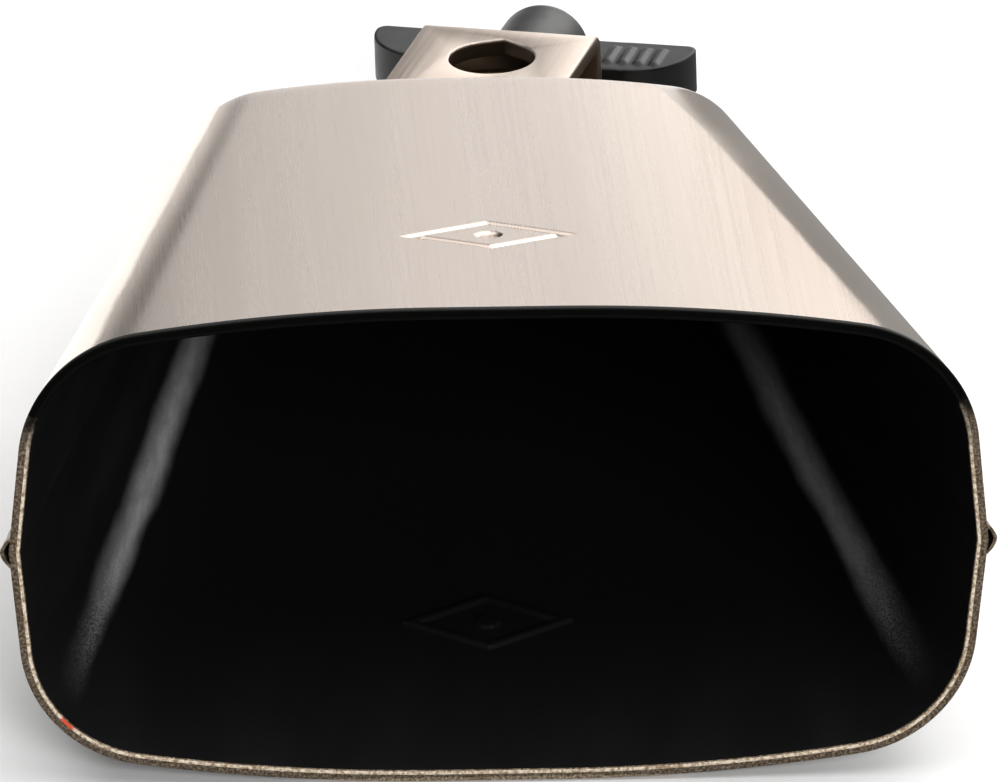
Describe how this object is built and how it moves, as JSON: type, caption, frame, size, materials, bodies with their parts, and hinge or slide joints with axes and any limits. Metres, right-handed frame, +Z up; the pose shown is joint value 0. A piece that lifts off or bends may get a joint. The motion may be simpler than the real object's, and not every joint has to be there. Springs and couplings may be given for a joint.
{
  "type": "cowbell",
  "caption": "Hand-held tapered steel cowbell of welded half-shells, with a bent-strap rod clamp, eye-bolt and wing nut at its closed end.",
  "frame": {"origin": "middle of the bounding box in X and Y, on the plane the bell's back face lies on", "axes": "+X across the mouth, +Y from the mouth to the closed end and the clamp, +Z up, away from the back face"},
  "size_m": [0.1282, 0.1746, 0.0657],
  "materials": {
    "brushed_steel": "brushed along the bell, warm satin steel, smooth on the rounded corners",
    "weld_steel": "ground and lightly tarnished weld metal",
    "strap_steel": "satin steel strip",
    "yellow_zinc": "yellow passivated zinc plating on steel",
    "bright_zinc": "bright zinc plating",
    "black_plastic": "fine-grained black moulded plastic",
    "brass": "turned brass"
  },
  "bodies": {
    "bell": {"front_shell": "brushed_steel", "back_shell": "brushed_steel", "seam_weld_right": "weld_steel", "seam_weld_left": "weld_steel", "seam_weld_end": "weld_steel", "bracket_weld_front": "weld_steel", "bracket_weld_back": "weld_steel", "clamp_bracket": "strap_steel", "washer": "bright_zinc"},
    "wing_nut": {"wing_nut": "black_plastic", "wing_nut_insert": "brass"},
    "eye_bolt": {"eye_bolt": "yellow_zinc"}
  },
  "joints": [
    {"name": "wing_nut_turn", "type": "hinge", "parent": "bell", "child": "wing_nut", "pos_m": [0.00908, 0.07081, 0.01204], "axis": [0.294, 0.9472, -0.1282], "range_deg": [-270, 2160]},
    {"name": "eye_bolt_slide", "type": "slide", "parent": "bell", "child": "eye_bolt", "axis": [-0.294, -0.9472, 0.1282], "range_m": [-0.00076, 0.00601]}
  ],
  "couplings": [
    {"joint": "eye_bolt_slide", "follows": "wing_nut_turn", "m_per_rad": 0.00015915}
  ]
}
